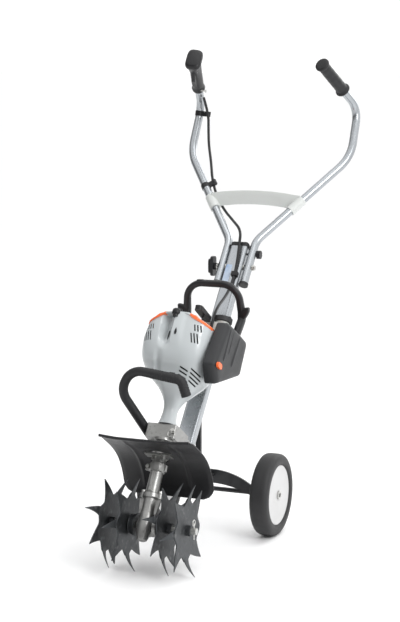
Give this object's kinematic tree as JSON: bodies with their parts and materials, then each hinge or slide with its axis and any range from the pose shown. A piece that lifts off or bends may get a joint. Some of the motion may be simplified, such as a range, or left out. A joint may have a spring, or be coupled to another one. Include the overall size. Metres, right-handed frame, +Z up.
{
  "type": "garden tiller",
  "caption": "Two-stroke garden tiller with pick tines, leaning engine and drive, folding looped handlebar, front and carrying handles, shield and two transport wheels.",
  "frame": {"origin": "centre of the bounding box's footprint, on the ground that tines and wheels stand on", "axes": "+X to the machine's side that carries the filter cover, +Y towards the operator and the wheels, +Z up"},
  "size_m": [0.4842, 1, 1.2311],
  "materials": {
    "aluminium_tube": "bright drawn aluminium",
    "cast_aluminium": "sand-cast, matt",
    "black_plastic": "moulded, fine grain",
    "grip_rubber": "ribbed soft grip",
    "white_shell": "gloss moulded",
    "orange_shell": "gloss moulded",
    "charcoal_plastic": "moulded, matt",
    "tank_plastic": "translucent moulded",
    "black_steel": "black powder coat",
    "tine_steel": "dark hardened steel, worn",
    "steel": "zinc plated",
    "bronze": "sintered bronze",
    "iron": "machined",
    "tyre_rubber": "solid tyre, smooth",
    "white_disc": "satin moulded",
    "filter_felt": "pleated filter paper",
    "light_grey_plastic": "fine texture"
  },
  "bodies": {
    "root": {"main_profile": "aluminium_tube", "profile_end_cap": "black_plastic", "mounting_bracket": "cast_aluminium", "gear_case": "cast_aluminium", "frame_fasteners": "steel", "shaft_bearings": "bronze", "shield": "black_plastic", "front_handle": "aluminium_tube", "front_handle_grip": "grip_rubber", "axle_carrier": "black_steel", "axle_rod": "steel", "hitch_pin": "steel", "carry_handle": "black_plastic", "clutch_housing": "cast_aluminium", "crankcase": "cast_aluminium", "crankshaft": "iron", "clutch_shoes": "iron", "flywheel": "cast_aluminium", "ignition_parts": "black_plastic", "cylinder": "cast_aluminium", "piston": "cast_aluminium", "connecting_rod": "iron", "carburettor": "cast_aluminium", "muffler": "steel", "engine_shroud": "white_shell", "top_cover": "orange_shell", "filter_cover": "charcoal_plastic", "air_filter": "filter_felt", "fuel_tank": "tank_plastic", "cable_lower": "black_plastic", "engine_trim": "black_plastic"},
    "tine_set": {"tines_left": "tine_steel", "tines_right": "tine_steel", "tine_shaft": "steel", "worm_wheel": "bronze", "tine_cotter_pins": "steel"},
    "drive_train": {"drive_shaft": "iron", "clutch_drum": "iron"},
    "wheel_left": {"tyre_left": "tyre_rubber", "wheel_disc_left": "white_disc"},
    "wheel_right": {"tyre_right": "tyre_rubber", "wheel_disc_right": "white_disc"},
    "handlebar": {"handlebar_tubes": "aluminium_tube", "tube_end_caps": "black_plastic", "pivot_bolt": "steel", "crossbar": "light_grey_plastic", "handlebar_fasteners": "steel", "grip_right": "grip_rubber", "control_handle": "black_plastic", "cable_upper": "black_plastic", "cable_clips": "black_plastic"},
    "clamp_knob": {"clamp_knob": "black_plastic"},
    "lock_knob": {"lock_knob": "black_plastic"},
    "throttle_trigger": {"throttle_trigger": "black_plastic"},
    "lockout_lever": {"lockout_lever": "black_plastic"},
    "stop_switch": {"stop_switch": "orange_shell"},
    "choke_knob": {"choke_knob": "orange_shell"},
    "fuel_cap": {"fuel_cap": "charcoal_plastic"},
    "starter_grip": {"starter_grip": "black_plastic"},
    "starter_pulley": {"starter_pulley": "black_plastic"}
  },
  "joints": [
    {"name": "tine_spin", "type": "hinge", "parent": "root", "child": "tine_set", "pos_m": [0, -0.38553, 0.115], "axis": [1, 0, 0], "continuous": true},
    {"name": "drive_shaft_spin", "type": "hinge", "parent": "root", "child": "drive_train", "pos_m": [0, -0.40334, 0.12613], "axis": [0, 0.5299, 0.848], "continuous": true},
    {"name": "wheel_left_spin", "type": "hinge", "parent": "root", "child": "wheel_left", "pos_m": [-0.1555, 0.03767, 0.1057], "axis": [1, 0, 0], "continuous": true},
    {"name": "wheel_right_spin", "type": "hinge", "parent": "root", "child": "wheel_right", "pos_m": [0.1555, 0.03767, 0.1057], "axis": [1, 0, 0], "continuous": true},
    {"name": "handlebar_fold", "type": "hinge", "parent": "root", "child": "handlebar", "pos_m": [0, 0.17647, 0.669], "axis": [1, 0, 0], "range_deg": [0, 105]},
    {"name": "clamp_knob_turn", "type": "hinge", "parent": "handlebar", "child": "clamp_knob", "pos_m": [-0.058, 0.17647, 0.669], "axis": [1, 0, 0], "range_deg": [0, 360]},
    {"name": "lock_knob_turn", "type": "hinge", "parent": "handlebar", "child": "lock_knob", "pos_m": [0.054, 0.21047, 0.7], "axis": [1, 0, 0], "range_deg": [0, 360]},
    {"name": "throttle_trigger_pull", "type": "hinge", "parent": "handlebar", "child": "throttle_trigger", "pos_m": [-0.18307, 0.3324, 1.17248], "axis": [0.9731, 0.1866, -0.1354], "range_deg": [0, 9], "stiffness_Nm_per_rad": 0.05},
    {"name": "lockout_press", "type": "hinge", "parent": "handlebar", "child": "lockout_lever", "pos_m": [-0.18423, 0.35836, 1.19997], "axis": [0.9731, 0.1866, -0.1354], "range_deg": [-4, 0], "stiffness_Nm_per_rad": 0.05},
    {"name": "stop_switch_slide", "type": "slide", "parent": "handlebar", "child": "stop_switch", "axis": [0.2305, -0.7876, 0.5715], "range_m": [0, 0.008]},
    {"name": "choke_turn", "type": "hinge", "parent": "root", "child": "choke_knob", "pos_m": [0.1, -0.24055, 0.48665], "axis": [1, 0, 0], "range_deg": [0, 75]},
    {"name": "fuel_cap_turn", "type": "hinge", "parent": "root", "child": "fuel_cap", "pos_m": [0.042, -0.01563, 0.55599], "axis": [0, 0.5299, 0.848], "range_deg": [0, 180]},
    {"name": "starter_pull", "type": "slide", "parent": "root", "child": "starter_grip", "axis": [0, 0.5299, 0.848], "range_m": [0, 0.055], "stiffness_N_per_m": 60, "springref_m": -0.03},
    {"name": "starter_pulley_spin", "type": "hinge", "parent": "root", "child": "starter_pulley", "pos_m": [0, -0.14368, 0.54167], "axis": [0, 0.5299, 0.848], "range_deg": [0, 140]}
  ],
  "couplings": [
    {"joint": "drive_shaft_spin", "follows": "tine_spin", "ratio": 24},
    {"joint": "starter_pulley_spin", "follows": "starter_pull", "rad_per_m": 38.462}
  ]
}
